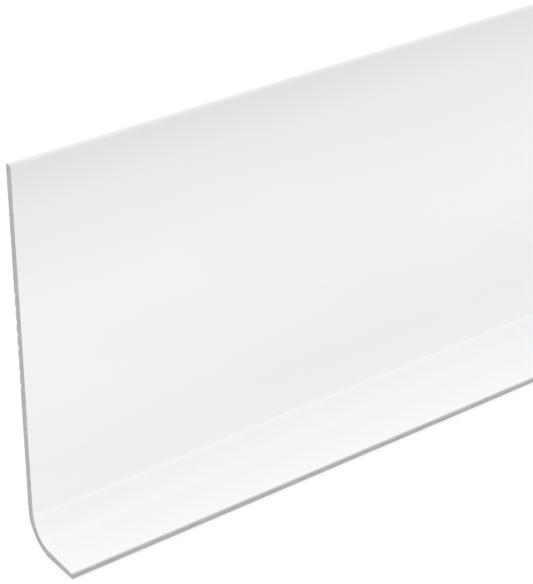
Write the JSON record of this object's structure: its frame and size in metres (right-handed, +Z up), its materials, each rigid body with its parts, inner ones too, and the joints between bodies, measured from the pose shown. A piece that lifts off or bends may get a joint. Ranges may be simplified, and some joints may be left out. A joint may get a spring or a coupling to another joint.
{
  "type": "coved vinyl base strip",
  "caption": "Self-adhesive vinyl strip with a tall flat web and a coved, flexible toe that seals the foot of a door or wall; foam tape bands with peel-off liners on its back.",
  "frame": {"origin": "where the wall meets the floor, at the middle of the strip's length: y = 0 is the wall plane, which the back of the liners touches, and z = 0 is the floor, which the sole of the toe rests on", "axes": "+X along the strip, +Y into the wall (the front faces -Y), +Z up"},
  "size_m": [1.2192, 0.0206, 0.1016],
  "materials": {
    "firm_vinyl": "satin",
    "soft_vinyl": "satin",
    "foam_tape": "matte",
    "release_paper": "satin"
  },
  "bodies": {
    "strip": {"web": "firm_vinyl", "upper_tape": "foam_tape", "lower_tape": "foam_tape"},
    "flexible_toe": {"toe": "soft_vinyl"},
    "upper_release_liner": {"upper_liner": "release_paper"},
    "lower_release_liner": {"lower_liner": "release_paper"}
  },
  "joints": [
    {"name": "toe_flex", "type": "hinge", "parent": "strip", "child": "flexible_toe", "pos_m": [0, -0.0026, 0.0093], "axis": [-1, 0, 0], "range_deg": [0, 45], "stiffness_Nm_per_rad": 0.9},
    {"name": "upper_liner_peel", "type": "slide", "parent": "strip", "child": "upper_release_liner", "axis": [0, 1, 0], "range_m": [0, 0.04]},
    {"name": "lower_liner_peel", "type": "slide", "parent": "strip", "child": "lower_release_liner", "axis": [0, 1, 0], "range_m": [0, 0.04]}
  ]
}
